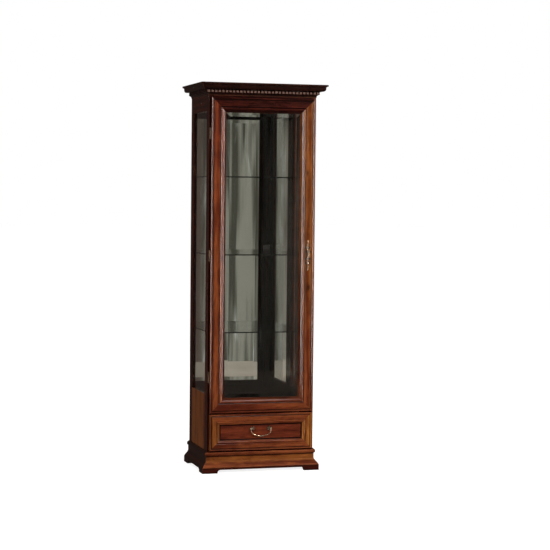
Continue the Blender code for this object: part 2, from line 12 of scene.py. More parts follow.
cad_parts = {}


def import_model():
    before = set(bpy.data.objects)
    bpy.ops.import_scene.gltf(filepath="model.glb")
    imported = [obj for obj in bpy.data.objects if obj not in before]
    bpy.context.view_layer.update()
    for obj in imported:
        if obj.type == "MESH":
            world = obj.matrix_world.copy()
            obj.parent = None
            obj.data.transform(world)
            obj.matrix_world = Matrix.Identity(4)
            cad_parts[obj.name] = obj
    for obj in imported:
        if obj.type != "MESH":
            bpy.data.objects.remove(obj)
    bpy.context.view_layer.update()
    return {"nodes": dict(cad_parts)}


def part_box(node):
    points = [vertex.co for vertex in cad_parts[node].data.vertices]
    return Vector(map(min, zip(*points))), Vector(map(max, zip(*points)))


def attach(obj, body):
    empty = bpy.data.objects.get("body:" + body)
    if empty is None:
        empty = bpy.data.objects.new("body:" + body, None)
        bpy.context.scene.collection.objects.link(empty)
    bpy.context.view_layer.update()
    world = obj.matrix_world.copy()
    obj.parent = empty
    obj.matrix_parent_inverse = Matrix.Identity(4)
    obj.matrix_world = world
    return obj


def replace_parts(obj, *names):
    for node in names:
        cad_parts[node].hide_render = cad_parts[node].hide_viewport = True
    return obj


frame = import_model()
NODES = frame["nodes"]

MM = 0.001

# Camera: its place, its aim in degrees and its lens
CAMERA_PLACE = (-2.349, -8.660, 1.478)
CAMERA_YAW = -15.94
CAMERA_PITCH = -2.82
CAMERA_ROLL = 0.57
SENSOR_WIDTH = 36                   # mm
CAMERA_LENS = 109.1                 # mm
CLIP_END = 200

# Room: what lights the case where no lamp does, and what the mirror shows
CASE_MIDDLE = (0, 0, 1.0)           # the lamps aim here
ROOM_GLOW = (0.045, 0.032, 0.027, 1)
FLOOR_REACH = 60
CURTAIN_PLACE = -4.8                # along Y
CURTAIN_ENDS = (-2, 9)              # along X
CURTAIN_HEIGHTS = (0.02, 5)
# Floor that only shows by way of glass: along X, and along Y up to just before the case
REFLECTED_ENDS = (-12, 14)
REFLECTED_SIDES = (-9, -0.35)
CLOTH_EDGE = (0.94, 0.99)           # along X, where the cloth begins and the brown room ends
STREAK_LEAN = 5                     # degrees
# The curtain is dark to polish within this reach of it, and lit for the mirror, which is further away
POLISH_REACH = 4.97

# Mouldings: a front's grooves are told by how far they are in from its edges
FIELD_INSET = 57.5 * MM             # from the edge of the drawer's front to its sunk field
FIELD_DEPTH = 8 * MM
DRAWER_GROOVES = (12 * MM, FIELD_INSET, FIELD_INSET + 2 * MM)
DOOR_GROOVES = (11.7 * MM, 50.3 * MM)
PLINTH_GROOVES = (27 * MM, 87 * MM, 113 * MM)       # heights
DENTIL_FACES = (2000 * MM, 2012 * MM)               # heights

# Grain directions
ALONG_X, ALONG_Y, ALONG_Z = 0, 1, 2

# Wood: how fine its figure is per metre, and how much of that is left along the grain
FIGURE_FINENESS, FIGURE_STRETCH = 16, 0.09
BAND_FINENESS = 9
CLOUD_FINENESS, CLOUD_STRETCH = 21, 0.45
FIBRE_FINENESS, FIBRE_STRETCH = 520, 0.035
FIBRE_RELIEF = 0.20 * MM
KNOT_STRETCH = 0.42
CORNER_REACH = 9 * MM               # of the painted shade in corners and recesses
EDGE_REACH = 1.6 * MM               # of the wear along edges, which partly stands in for their highlights
GROOVE_SHADE_CORE = 1.2 * MM               # half width of a groove's darkest painted shade
FULL_POLISH = 0.7                   # weight of the coat over the case's outside
# Pale colour painted on the dentils' front faces as their highlight
DENTIL_HIGHLIGHT = (0.112, 0.067, 0.056)
WORN_AND_LIT_WOOD = (0.42, 0.17, 0.08)

# Angles in degrees
SHARP_ANGLE = 32                    # sharper edges are kept sharp and rounded off
GLASS_SHARP_ANGLE = 3               # sharper edges are kept sharp on glass
FLUSH_ANGLE = 0.5                   # flatter edges are dissolved

# Brass castings
ROD_SIDES = 10
BEAD_STEPS = 8
BEAD_POLE = 0.04                    # of its half turn, that a bead leaves out at each pole
SCROLL_STEPS = 26
SCROLL_SHRINK = 0.74                # of its radius, that a scroll loses on the way to its eye
SCROLL_TAPER = 0.35                 # of its thickness
MELT_GRAIN = 0.5 * MM               # voxels that melt the rods together

# Openwork round the keyhole
KEYHOLE = (0.248, 1.150)            # across, height
RING_STEPS = 32
RING_HALF_WIDTH = 6.4 * MM
RING_HALF_HEIGHT = 8.0 * MM
RING_THICKNESS = 1.7 * MM
# Scrolls: (fraction of its height, distance aside, radius, thickness)
OPENWORK_SCROLLS = ((0.24, 9.0 * MM, 6.6 * MM, 1.9 * MM), (0.53, 7.0 * MM, 5.4 * MM, 1.7 * MM))
# Leaves: (fraction of its height, reach)
OPENWORK_LEAVES = ((0.34, 15 * MM), (0.66, 9 * MM))
WINDING = 76 * MM                   # height of one turn of the line of painted highlight
WINDING_REACH = 4 * MM

# Rosettes and bail of the pull
ROSETTE_LEAVES = 8
LEAF_PLACE = 7.5 * MM               # of a leaf's middle from its post's axis
BAIL_PIVOT = 0.230                  # height
BAIL_DROP = 39 * MM
BAIL_HALF_WIDTH = 56 * MM
BAIL_STEPS = 60
PIN_END = 42 * MM                   # of the bail's pins, from the middle of the pull
PIN_BEND = 52 * MM
CURL_PLACE = 54 * MM
CURL_RISE = 3.2 * MM
CURL_RADIUS = 4.6 * MM
COLLAR_PLACE = 51.5 * MM
# Beads: (fraction of the bail's length, radius)
BAIL_BEADS = ((0.437, 2.3 * MM), (0.465, 2.7 * MM), (0.5, 3.3 * MM), (0.535, 2.7 * MM), (0.563, 2.3 * MM))


# ---------------------------------------------------------------- stage

def camera():
    """Stands left of the door and looks a little down at the case."""
    yaw, pitch, roll = (math.radians(turn) for turn in (CAMERA_YAW, CAMERA_PITCH, CAMERA_ROLL))
    forward = Vector((-math.sin(yaw) * math.cos(pitch), math.cos(yaw) * math.cos(pitch), math.sin(pitch)))
    level = Vector((math.cos(yaw), math.sin(yaw), 0))
    upright = level.cross(forward)
    right = math.cos(roll) * level + math.sin(roll) * upright
    up = math.cos(roll) * upright - math.sin(roll) * level
    data = bpy.data.cameras.new("camera")
    data.lens = CAMERA_LENS
    data.sensor_width = SENSOR_WIDTH
    data.clip_end = CLIP_END
    made = bpy.data.objects.new("camera", data)
    bpy.context.scene.collection.objects.link(made)
    turned = Matrix((right, up, -forward)).transposed().to_4x4()
    made.matrix_world = Matrix.Translation(CAMERA_PLACE) @ turned
    bpy.context.scene.camera = made


def area_light(name, place, size, power, colour=(1, 1, 1)):
    """A lamp that aims at the case's middle and doesn't show through glass."""
    data = bpy.data.lights.new(name, "AREA")
    data.shape = "RECTANGLE"
    data.size, data.size_y = size
    data.energy = power
    data.color = colour
    made = bpy.data.objects.new(name, data)
    bpy.context.scene.collection.objects.link(made)
    made.location = place
    made.rotation_mode = "QUATERNION"
    made.rotation_quaternion = (Vector(CASE_MIDDLE) - Vector(place)).to_track_quat("-Z", "Y")
    made.visible_transmission = False
    return made


def glint_strip(name, place, size, power):
    """A bright strip that only polish and metal show, as a thin line on each bead."""
    strip = area_light(name, place, size, power, (1.0, 0.90, 0.87))
    strip.visible_diffuse = False


def lights():
    """A key light on the right, soft fills, and strips that draw thin lines of light on the mouldings."""
    area_light("key_light", (3.6, -4.6, 3.4), (1.1, 1.1), 520, (1.0, 0.95, 0.88))
    back_fill = area_light("back_fill", (-1.6, 5.0, 3.0), (2.0, 2.0), 170, (1.0, 0.95, 0.90))
    back_fill.visible_glossy = False
    area_light("left_fill", (-4.6, -2.4, 1.5), (1.2, 2.4), 135, (1.0, 0.93, 0.88))
    front_fill = area_light("front_fill", (-1.0, -7.5, 3.2), (2.0, 1.4), 60)
    front_fill.visible_glossy = False
    glint_strip("left_glint", (-4.6, -3.4, 1.3), (0.36, 3.0), 400)
    glint_strip("right_glint", (4.4, -2.6, 1.3), (0.36, 3.0), 250)
    glint_strip("top_glint", (0.5, -1.2, 6.0), (3.2, 0.6), 100)


def world():
    """White where the camera looks past the case; dim and warm for every other ray."""
    made = bpy.data.worlds.new("studio")
    made.use_nodes = True
    tree = made.node_tree
    path = tree.nodes.new("ShaderNodeLightPath")
    colour = tree.nodes.new("ShaderNodeMix")
    colour.data_type = "RGBA"
    ends = {socket.identifier: socket for socket in colour.inputs}
    ends["A_Color"].default_value = ROOM_GLOW
    ends["B_Color"].default_value = (1, 1, 1, 1)
    tree.links.new(path.outputs["Is Camera Ray"], ends["Factor_Float"])
    result = next(socket for socket in colour.outputs if socket.identifier == "Result_Color")
    tree.links.new(result, tree.nodes["Background"].inputs["Color"])
    bpy.context.scene.world = made
    bpy.context.scene.view_settings.view_transform = "Standard"


def sheet(name, points, look):
    """One face of the room."""
    mesh = bpy.data.meshes.new(name)
    mesh.from_pydata(points, [], [tuple(range(len(points)))])
    mesh.materials.append(look)
    made = bpy.data.objects.new(name, mesh)
    bpy.context.scene.collection.objects.link(made)
    return made


# ---------------------------------------------------------------- node helpers

class Look:
    """A material whose nodes are made and linked by name."""

    def __init__(self, name):
        self.material = bpy.data.materials.new(name)
        self.material.use_nodes = True
        self.tree = self.material.node_tree
        self.shader = self.tree.nodes["Principled BSDF"]

    def set(self, node, socket, value):
        slot = node.inputs[socket]
        if isinstance(value, bpy.types.NodeSocket):
            self.tree.links.new(value, slot)
        else:
            slot.default_value = value

    def add(self, kind, inputs=None, **settings):
        node = self.tree.nodes.new(kind)
        for name, value in settings.items():
            setattr(node, name, value)
        for socket, value in (inputs or {}).items():
            self.set(node, socket, value)
        return node

    def surface(self, **sockets):
        for socket, value in sockets.items():
            self.set(self.shader, socket.replace("_", " "), value)

    def maths(self, operation, first, second=0.0, clamp=False):
        return self.add("ShaderNodeMath", {0: first, 1: second}, operation=operation,
                        use_clamp=clamp).outputs[0]

    def stretched(self, scale, shift=(0, 0, 0)):
        """The point's place, scaled along each axis and moved."""
        place = self.add("ShaderNodeTexCoord").outputs["Object"]
        mapping = self.add("ShaderNodeMapping", {"Vector": place, "Scale": scale, "Location": shift})
        return mapping.outputs[0]

    def place(self):
        """The point's place as it is."""
        return self.stretched((1, 1, 1))

    def axes(self):
        """X, Y and Z of the point's place."""
        return self.add("ShaderNodeSeparateXYZ", {0: self.place()}).outputs

    def off(self, value, middle):
        """How far the value lies from the middle."""
        return self.maths("ABSOLUTE", self.maths("SUBTRACT", value, middle))

    def noise(self, vector, scale, detail=2.0, roughness=0.5, distortion=0.0):
        inputs = {"Vector": vector, "Scale": scale, "Detail": detail, "Roughness": roughness,
                  "Distortion": distortion}
        return self.add("ShaderNodeTexNoise", inputs).outputs[0]

    def ranged(self, value, low, high, to_low=0.0, to_high=1.0):
        """Goes smoothly from to_low to to_high while the value goes from low to high."""
        inputs = {"Value": value, "From Min": low, "From Max": high, "To Min": to_low, "To Max": to_high}
        return self.add("ShaderNodeMapRange", inputs, interpolation_type="SMOOTHSTEP").outputs["Result"]

    def blend(self, factor, first, second, mode="MIX"):
        node = self.add("ShaderNodeMix", data_type="RGBA", blend_type=mode)
        for socket, value in (("Factor_Float", factor), ("A_Color", first), ("B_Color", second)):
            target = next(s for s in node.inputs if s.identifier == socket)
            if isinstance(value, bpy.types.NodeSocket):
                self.tree.links.new(value, target)
            elif socket == "Factor_Float":
                target.default_value = value
            else:
                target.default_value = (*value, 1.0) if len(value) == 3 else value
        return next(s for s in node.outputs if s.identifier == "Result_Color")

    def bump(self, height, strength, distance):
        inputs = {"Height": height, "Strength": strength, "Distance": distance}
        return self.add("ShaderNodeBump", inputs).outputs[0]

    def recess(self, distance, inside=False):
        """0 in a tight corner and 1 in the open. Seen from inside, an outer edge is the tight corner."""
        return self.add("ShaderNodeAmbientOcclusion", {"Distance": distance}, samples=6,
                        inside=inside).outputs["AO"]

    def darker(self, colour, amount):
        """The colour times a grey from 0 to 1."""
        grey = self.add("ShaderNodeCombineColor", {0: amount, 1: amount, 2: amount}).outputs[0]
        return self.blend(1.0, colour, grey, "MULTIPLY")


# ---------------------------------------------------------------- materials

# Wood tones: (light, dark) colours of the figure
TONES = {
    "red": ((0.170, 0.036, 0.013), (0.060, 0.010, 0.005)),
    "russet": ((0.215, 0.056, 0.018), (0.080, 0.015, 0.006)),
    "crimson": ((0.135, 0.027, 0.011), (0.050, 0.009, 0.005)),
    "amber": ((0.230, 0.073, 0.017), (0.088, 0.021, 0.006)),
    "gold": ((0.330, 0.118, 0.026), (0.135, 0.036, 0.010)),
    "dark": ((0.024, 0.006, 0.004), (0.009, 0.003, 0.002)),
    "wine": ((0.046, 0.007, 0.004), (0.017, 0.003, 0.002)),
    "brown": ((0.085, 0.026, 0.014), (0.038, 0.011, 0.007)),
}


def along(grain, amount):
    """Scale of a texture that runs with the grain."""
    scale = [1.0, 1.0, 1.0]
    scale[grain] = amount
    return scale


def grained(look, grain, tone, seed):
    """The figure's colour, its fine fibres and its clouds."""
    light, dark = TONES[tone]
    shift = (seed * 3.7, seed * 1.9, seed * 2.3)
    long_way = look.stretched(along(grain, FIGURE_STRETCH), shift)
    figure = look.noise(long_way, FIGURE_FINENESS, 3, 0.55, 1.2)
    waves = {"Vector": long_way, "Scale": BAND_FINENESS, "Distortion": 7, "Detail": 3,
             "Detail Scale": 1.6, "Detail Roughness": 0.6}
    across = "XYZ"[(grain + 1) % 3]
    bands = look.add("ShaderNodeTexWave", waves, bands_direction=across).outputs["Fac"]
    fibres = look.noise(look.stretched(along(grain, FIBRE_STRETCH), shift), FIBRE_FINENESS, 3, 0.6)
    clouds = look.noise(look.stretched(along(grain, CLOUD_STRETCH), shift), CLOUD_FINENESS, 4, 0.65, 0.8)
    drift = look.maths("ADD", look.maths("MULTIPLY", figure, 0.55), look.maths("MULTIPLY", bands, 0.24))
    drift = look.maths("ADD", drift, look.maths("MULTIPLY", clouds, 0.6))
    colour = look.blend(look.ranged(drift, 0.48, 0.90), dark, light)
    return look.darker(colour, look.ranged(fibres, 0.34, 0.66, 0.55, 1.10)), fibres, clouds


def edge_distances(look, low, high):
    """How far a point of the front is in from its upright edges and from its level edges."""
    place = look.axes()
    from_side = look.maths("SUBTRACT", high.x, look.maths("ABSOLUTE", place["X"]))
    from_end = look.maths("MINIMUM", look.maths("SUBTRACT", place["Z"], low.z),
                          look.maths("SUBTRACT", high.z, place["Z"]))
    return from_side, from_end


def shade_groove(look, colour, off_groove, end, core_tone):
    """Painted shade about a groove's middle, which thins out to its end."""
    return look.darker(colour, look.ranged(off_groove, GROOVE_SHADE_CORE, end, core_tone, 1.0))


def shade_grooves(look, colour, low, high, insets):
    """Painted shade in the grooves that run round a front at these insets from its edges."""
    from_edge = look.maths("MINIMUM", *edge_distances(look, low, high))
    for inset in insets:
        colour = shade_groove(look, colour, look.off(from_edge, inset), 4.5 * MM, 0.22)
    return colour


def mitred(look, colour, seed, side_tones, field_tone):
    """Colours of the drawer's front: upright sides mitred to its rails, and a field inside them."""
    low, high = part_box("drawer_front")
    from_side, from_end = edge_distances(look, low, high)
    upright = look.ranged(look.maths("SUBTRACT", from_end, from_side), 0.0, 0.4 * MM)
    side_seed, field_seed = seed + 40, seed + 60
    sides = [grained(look, ALONG_Z, tone, side_seed)[0] for tone in side_tones]
    across = look.axes()["X"]
    colour = look.blend(upright, colour, look.blend(look.ranged(across, -0.2, 0.2), *sides))
    from_edge = look.maths("MINIMUM", from_side, from_end)
    inside = look.ranged(from_edge, FIELD_INSET - 1 * MM, FIELD_INSET)
    colour = look.blend(inside, colour, grained(look, ALONG_X, field_tone, field_seed)[0])
    return shade_grooves(look, colour, low, high, DRAWER_GROOVES)


def wood(name, grain, tone, seed, fades=(), shade=None, brightened=None, mitre=None, knots=(), groove_shade=None,
         levels=(), polish=FULL_POLISH):
    """Polished wood: long figure, fine fibres, painted shade in corners and recesses, and worn edges that
    partly stand in for highlights.

    Each fade is (axis, from, to, tone): the wood takes on that tone along the axis. A shade is
    (axis, from, to): painted shade darkens the wood past it. The brightened band is (low, high): open
    faces between those heights get a painted pale highlight. A mitre is (tones of the two upright sides,
    tone of the field).
    Knots are (place, size). A groove shade is (low corner, high corner, insets): painted shade in the
    grooves at those insets. Levels are the heights of level grooves that get painted shade too.
    """
    look = Look(name)
    colour, fibres, clouds = grained(look, grain, tone, seed)
    place = look.axes()
    for axis, start, end, second in fades:
        other = grained(look, grain, second, seed)[0]
        colour = look.blend(look.ranged(place[axis], start, end), colour, other)
    if mitre:
        colour = mitred(look, colour, seed, *mitre)
    if groove_shade:
        colour = shade_grooves(look, colour, *groove_shade)
    # Painted shade along level grooves, such as under the plinth's torus.
    for level in levels:
        colour = shade_groove(look, colour, look.off(place["Z"], level), 5.5 * MM, 0.25)
    for centre, size in knots:
        ends = {0: look.stretched((1, 1, KNOT_STRETCH)),
                1: (centre[0], centre[1], centre[2] * KNOT_STRETCH)}
        near = look.add("ShaderNodeVectorMath", ends, operation="DISTANCE").outputs["Value"]
        rough_edge = look.maths("ADD", near, look.maths("MULTIPLY", clouds, size))
        colour = look.blend(look.ranged(rough_edge, size * 0.6, size * 1.5, 0.85, 0.0), colour,
                            TONES["dark"][1])
    open_air = look.recess(CORNER_REACH)
    # Painted highlight: open faces within the given band of heights turn pale, as the lit dentil fronts.
    if brightened:
        middle, half = (brightened[0] + brightened[1]) / 2, (brightened[1] - brightened[0]) / 2
        off_middle = look.off(place["Z"], middle)
        dentil_highlight_mask = look.maths("MULTIPLY", look.ranged(off_middle, half - MM, half, 1.0, 0.0),
                          look.ranged(open_air, 0.66, 0.86))
        colour = look.blend(dentil_highlight_mask, colour, DENTIL_HIGHLIGHT)
    # Painted shade: corners and recesses darken, as where shade falls.
    colour = look.darker(colour, look.ranged(open_air, 0.46, 0.97, 0.05, 1.0))
    # Painted shade: the wood darkens past the given place, as inside the case and behind the door.
    if shade:
        axis, start, end = shade
        colour = look.darker(colour, look.ranged(place[axis], start, end, 1.0, 0.12))
    # Lighter worn edges, which are partly a painted highlight on the beads and edges.
    edge_wear_and_highlight = look.ranged(look.recess(EDGE_REACH, inside=True), 0.55, 0.92, 0.3, 0.0)
    edge_wear_and_highlight = look.maths("MULTIPLY", edge_wear_and_highlight, look.ranged(clouds, 0.35, 0.6, 0.5, 1.0))
    worn_and_lit = look.blend(0.35, colour, WORN_AND_LIT_WOOD)
    colour = look.blend(edge_wear_and_highlight, colour, worn_and_lit)

    rough = 0.30 + 0.5 * (FULL_POLISH - polish)
    look.surface(Base_Color=colour, Roughness=look.ranged(clouds, 0.3, 0.7, rough, rough + 0.12),
                 Coat_Weight=polish, Coat_Roughness=0.10, Specular_IOR_Level=0.02,
                 Normal=look.bump(fibres, 0.03, FIBRE_RELIEF))
    return look.material


def drawer_wood(name, grain, seed):
    """Pale, barely polished wood of the drawer's box."""
    look = Look(name)
    long_way = look.stretched(along(grain, 0.06), (seed * 2.1, seed * 1.3, seed))
    figure = look.noise(long_way, 24, 4, 0.6, 1.0)
    fibres = look.noise(long_way, 420, 2, 0.6)
    colour = look.blend(look.ranged(figure, 0.3, 0.7), (0.30, 0.17, 0.085), (0.46, 0.29, 0.16))
    colour = look.blend(look.ranged(fibres, 0.35, 0.7, 0.35, 0.0), colour, (0.20, 0.11, 0.05))
    look.surface(Base_Color=colour, Roughness=look.ranged(fibres, 0.3, 0.7, 0.52, 0.66),
                 Normal=look.bump(fibres, 0.2, 0.2 * MM))
    return look.material


def glass(name, tint=(0.985, 0.995, 0.990), edge=None):
    """Clear glass. With edge, the sheet's narrow faces are dark green."""
    look = Look(name)
    smudge = look.ranged(look.noise(look.place(), 7, 4, 0.6), 0.45, 0.75, 0.0, 0.02)
    look.surface(Roughness=smudge, Transmission_Weight=1.0, IOR=1.48, Base_Color=(*tint, 1))
    if edge:
        normal = look.add("ShaderNodeNewGeometry").outputs["True Normal"]
        upward = look.add("ShaderNodeSeparateXYZ", {0: normal}).outputs["Z"]
        flat = look.ranged(look.maths("ABSOLUTE", upward), 0.4, 0.8)
        look.surface(Base_Color=look.blend(flat, edge, tint))
    return look.material


def mirror_silver(name):
    """Silvered glass, a little hazy in patches."""
    look = Look(name)
    haze = look.noise(look.place(), 5, 4, 0.6)
    silver = look.blend(look.ranged(haze, 0.3, 0.7), (0.78, 0.80, 0.78), (0.82, 0.84, 0.82))
    look.surface(Base_Color=silver, Metallic=1.0, Roughness=look.ranged(haze, 0.4, 0.8, 0.0, 0.02))
    return look.material


def brass(name, bright=(0.46, 0.36, 0.25), dull=(0.035, 0.024, 0.016), spine=None):
    """Antique brass: rubbed bright where it stands out, dark in its corners.

    With a spine, a place across, only what lies near a line that winds up round it is bright: a painted
    highlight.
    """
    look = Look(name)
    spots = look.noise(look.place(), 260, 4, 0.65)
    open_air = look.ranged(look.recess(2.5 * MM), 0.60, 0.97)
    brightened = look.maths("MULTIPLY", open_air, look.ranged(spots, 0.30, 0.62), clamp=True)
    if spine is not None:
        # Painted highlight along a line that winds up round the spine.
        place = look.axes()
        turns = look.maths("SINE", look.maths("MULTIPLY", place["Z"], math.tau / WINDING))
        aside = look.off(place["X"], look.maths("ADD", look.maths("MULTIPLY", turns, WINDING_REACH), spine))
        brightened = look.maths("MULTIPLY", brightened, look.ranged(aside, 3 * MM, 6 * MM, 1.0, 0.05))
    look.surface(Base_Color=look.blend(brightened, dull, bright), Metallic=1.0,
                 Roughness=look.ranged(brightened, 0.0, 1.0, 0.55, 0.24),
                 Normal=look.bump(spots, 0.25, 0.3 * MM))
    return look.material


def steel(name):
    """Plain steel with fine upright scratches."""
    look = Look(name)
    scratches = look.noise(look.stretched((1, 1, 0.05)), 900, 3, 0.6)
    look.surface(Base_Color=look.blend(scratches, (0.34, 0.34, 0.34), (0.52, 0.52, 0.51)), Metallic=1.0,
                 Roughness=look.ranged(scratches, 0.3, 0.7, 0.28, 0.42),
                 Normal=look.bump(scratches, 0.1, 0.1 * MM))
    return look.material


def floor_look():
    """Pale floor that glows enough to meet the white background."""
    look = Look("floor_look")
    grain = look.noise(look.place(), 3, 3)
    away = look.add("ShaderNodeVectorMath", {0: look.place()}, operation="LENGTH").outputs["Value"]
    look.surface(Base_Color=look.blend(grain, (0.36, 0.36, 0.36), (0.40, 0.40, 0.40)), Roughness=0.9,
                 Specular_IOR_Level=0.0, Emission_Color=(1, 1, 1, 1),
                 Emission_Strength=look.ranged(away, 0.3, 1.6, 0.86, 1.0))
    return look.material


def glow_look(look, colour, strength):
    """Cloth or floor that no lamp lights, with a brightness of its own."""
    look.surface(Base_Color=(0, 0, 0, 1), Roughness=1.0, Specular_IOR_Level=0.0,
                 Emission_Color=colour, Emission_Strength=strength)
    return look.material


def curtain_look():
    """Hanging cloth with the light and shade of soft folds and slanting streaks of light painted into its
    glow, and a brown room to its left.
    """
    look = Look("curtain_look")
    folds = look.noise(look.stretched((1, 1, 0.05)), 13, 2, 0.5, 0.2)
    lean = (0, math.radians(STREAK_LEAN), 0)
    inputs = {"Vector": look.place(), "Scale": (1, 1, 0.10), "Rotation": lean}
    leaning = look.add("ShaderNodeMapping", inputs).outputs[0]
    streaks = look.noise(leaning, 15, 2, 0.5, 0.6)
    patches = look.noise(look.stretched((1, 1, 0.6)), 2.2, 2, 0.5)
    # Painted light and shade of the folds, then painted streaks of light.
    cloth = look.blend(look.ranged(folds, 0.40, 0.60), (0.065, 0.062, 0.048), (0.275, 0.262, 0.220))
    light = look.maths("MULTIPLY", look.ranged(streaks, 0.56, 0.72), look.ranged(patches, 0.42, 0.62))
    cloth = look.blend(look.maths("MULTIPLY", light, 0.7), cloth, (0.62, 0.64, 0.60))
    colour = look.blend(look.ranged(look.axes()["X"], *CLOTH_EDGE), (0.115, 0.088, 0.070), cloth)
    path = look.add("ShaderNodeLightPath").outputs
    from_mirror = look.ranged(path["Ray Length"], POLISH_REACH, POLISH_REACH + 0.1)
    return glow_look(look, colour, look.maths("MAXIMUM", from_mirror, path["Is Transmission Ray"]))


def reflected_floor_look():
    """Pale brown floor of the room."""
    look = Look("reflected_floor_look")
    colour = look.blend(look.noise(look.place(), 2, 3), (0.34, 0.29, 0.23), (0.44, 0.39, 0.33))
    return glow_look(look, colour, 1.0)


def only_reflected(piece, glossy):
    """Hidden from the camera and the lights, but not from rays that have come through glass."""
    piece.visible_camera = False
    piece.visible_diffuse = False
    piece.visible_glossy = glossy
    piece.visible_shadow = False


def level_sheet(name, ends, sides, height, look):
    """A level sheet between its ends along X and its sides along Y."""
    (left, right), (front, back) = ends, sides
    points = [(left, front, height), (right, front, height), (right, back, height), (left, back, height)]
    return sheet(name, points, look)


def stage():
    """The floor under the case, and the floor and curtain that stand for the room in reflections."""
    reach = (-FLOOR_REACH, FLOOR_REACH)
    floor = level_sheet("floor", reach, reach, 0, floor_look())
    floor.visible_diffuse = False
    floor.visible_glossy = False
    floor.visible_transmission = False
    reflected = level_sheet("reflected_floor", REFLECTED_ENDS, REFLECTED_SIDES, MM, reflected_floor_look())
    only_reflected(reflected, glossy=False)
    (left, right), (foot, top) = CURTAIN_ENDS, CURTAIN_HEIGHTS
    corners = ((left, foot), (right, foot), (right, top), (left, top))
    curtain = sheet("curtain", [(x, CURTAIN_PLACE, z) for x, z in corners], curtain_look())
    only_reflected(curtain, glossy=True)


# ---------------------------------------------------------------- finishing the CAD nodes

def geometry_group(name):
    group = bpy.data.node_groups.new(name, "GeometryNodeTree")
    group.is_modifier = True
    group.interface.new_socket("Geometry", in_out="INPUT", socket_type="NodeSocketGeometry")
    group.interface.new_socket("Geometry", in_out="OUTPUT", socket_type="NodeSocketGeometry")
    start = group.nodes.new("NodeGroupInput")
    end = group.nodes.new("NodeGroupOutput")
    return group, start, end


def cleaning_group():
    """Drops the stored normals and joins the split corners."""
    group, start, end = geometry_group("clean_mesh")
    drop = group.nodes.new("GeometryNodeRemoveAttribute")
    drop.inputs["Name"].default_value = "custom_normal"
    merge = group.nodes.new("GeometryNodeMergeByDistance")
    merge.inputs["Distance"].default_value = 0.01 * MM
    group.links.new(start.outputs[0], drop.inputs["Geometry"])
    group.links.new(drop.outputs["Geometry"], merge.inputs["Geometry"])
    group.links.new(merge.outputs["Geometry"], end.inputs[0])
    return group


def smoothing_group(limit):
    """Smooth shading, with edges sharper than the limit kept sharp."""
    group, start, end = geometry_group("smooth_by_angle")
    faces = group.nodes.new("GeometryNodeSetShadeSmooth")
    faces.domain = "FACE"
    edges = group.nodes.new("GeometryNodeSetShadeSmooth")
    edges.domain = "EDGE"
    edges.inputs["Shade Smooth"].default_value = False
    angle = group.nodes.new("GeometryNodeInputMeshEdgeAngle")
    sharp = group.nodes.new("FunctionNodeCompare")
    sharp.data_type = "FLOAT"
    sharp.operation = "GREATER_THAN"
    sharp.inputs["B"].default_value = math.radians(limit)
    group.links.new(angle.outputs["Unsigned Angle"], sharp.inputs["A"])
    group.links.new(sharp.outputs["Result"], edges.inputs["Selection"])
    group.links.new(start.outputs[0], faces.inputs["Geometry"])
    group.links.new(faces.outputs["Geometry"], edges.inputs["Geometry"])
    group.links.new(edges.outputs["Geometry"], end.inputs[0])
    return group


CLEAN = cleaning_group()
SMOOTH = smoothing_group(SHARP_ANGLE)
FLAT = smoothing_group(GLASS_SHARP_ANGLE)


def soften(piece, width, shading):
    """Rounds the piece's sharp edges a little, and keeps its flat faces flat."""
    piece.modifiers.new("clean", "NODES").node_group = CLEAN
    flats = piece.modifiers.new("flats", "DECIMATE")
    flats.decimate_type = "DISSOLVE"
    flats.angle_limit = math.radians(FLUSH_ANGLE)
    if width:
        bevel = piece.modifiers.new("edges", "BEVEL")
        bevel.width = width
        bevel.segments = 2
        bevel.limit_method = "ANGLE"
        bevel.angle_limit = math.radians(SHARP_ANGLE)
        bevel.miter_outer = "MITER_ARC"
        bevel.use_clamp_overlap = True
    piece.modifiers.new("shading", "NODES").node_group = shading
    normals = piece.modifiers.new("normals", "WEIGHTED_NORMAL")
    normals.keep_sharp = True
    normals.weight = 90


def dress(name, look, width=0.0, shading=SMOOTH):
    """Gives a CAD node its material and its edges."""
    piece = NODES[name]
    piece.data.materials.clear()
    piece.data.materials.append(look)
    soften(piece, width, shading)
    return piece


# ---------------------------------------------------------------- cast brass

